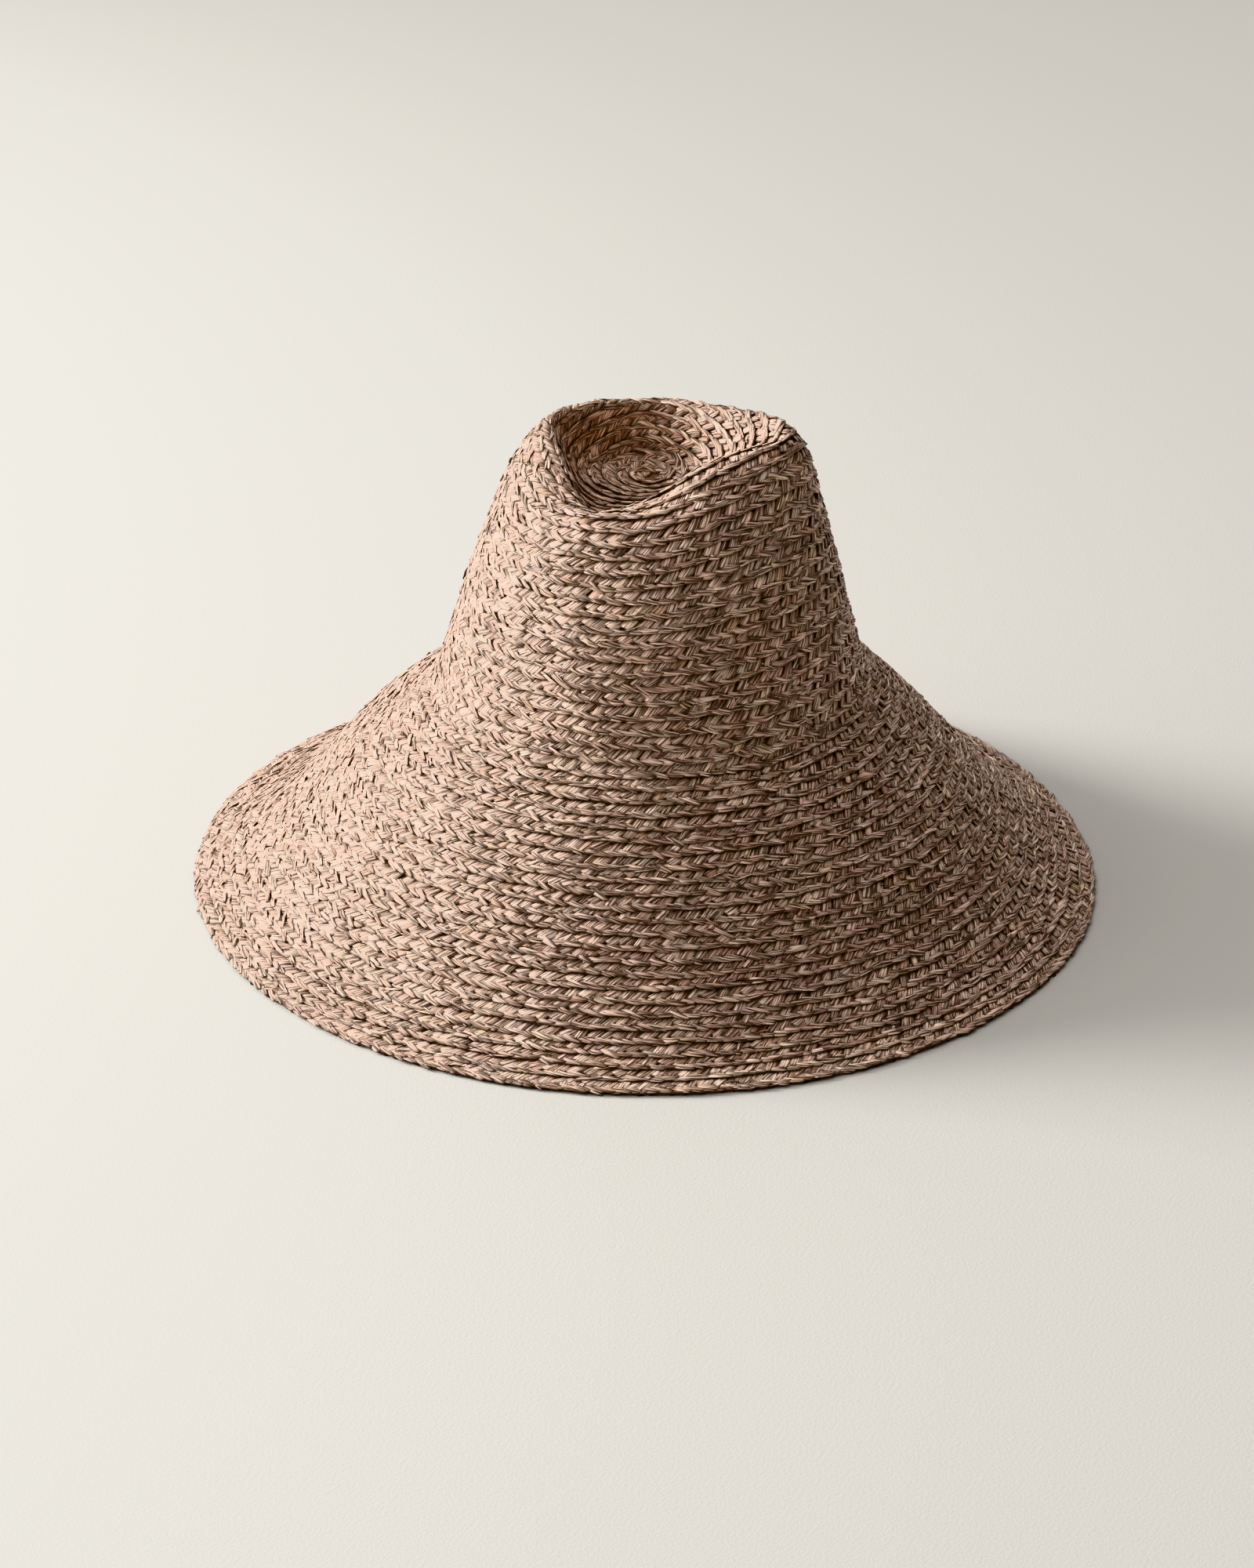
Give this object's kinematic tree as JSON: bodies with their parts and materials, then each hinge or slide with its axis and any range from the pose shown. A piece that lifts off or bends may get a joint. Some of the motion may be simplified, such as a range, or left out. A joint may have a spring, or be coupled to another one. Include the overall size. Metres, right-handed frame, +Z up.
{
  "type": "wide-brim raffia sun hat",
  "caption": "Wide-brim sun hat of a raffia plait sewn in a spiral, with a tapered crown, a teardrop dent in its tip and a brim that slopes down to the surface it rests on.",
  "frame": {"origin": "centre of the brim's edge, on the plane that the edge rests on", "axes": "+Z up through the crown, -Y towards the front of the hat, +X towards the wearer's left side"},
  "size_m": [0.409, 0.409, 0.219],
  "materials": {
    "raffia": "natural matt raffia, plaited and sewn in rows, with a slight sheen along the strands"
  },
  "bodies": {
    "root": {"crown": "raffia", "brim": "raffia"}
  },
  "joints": []
}
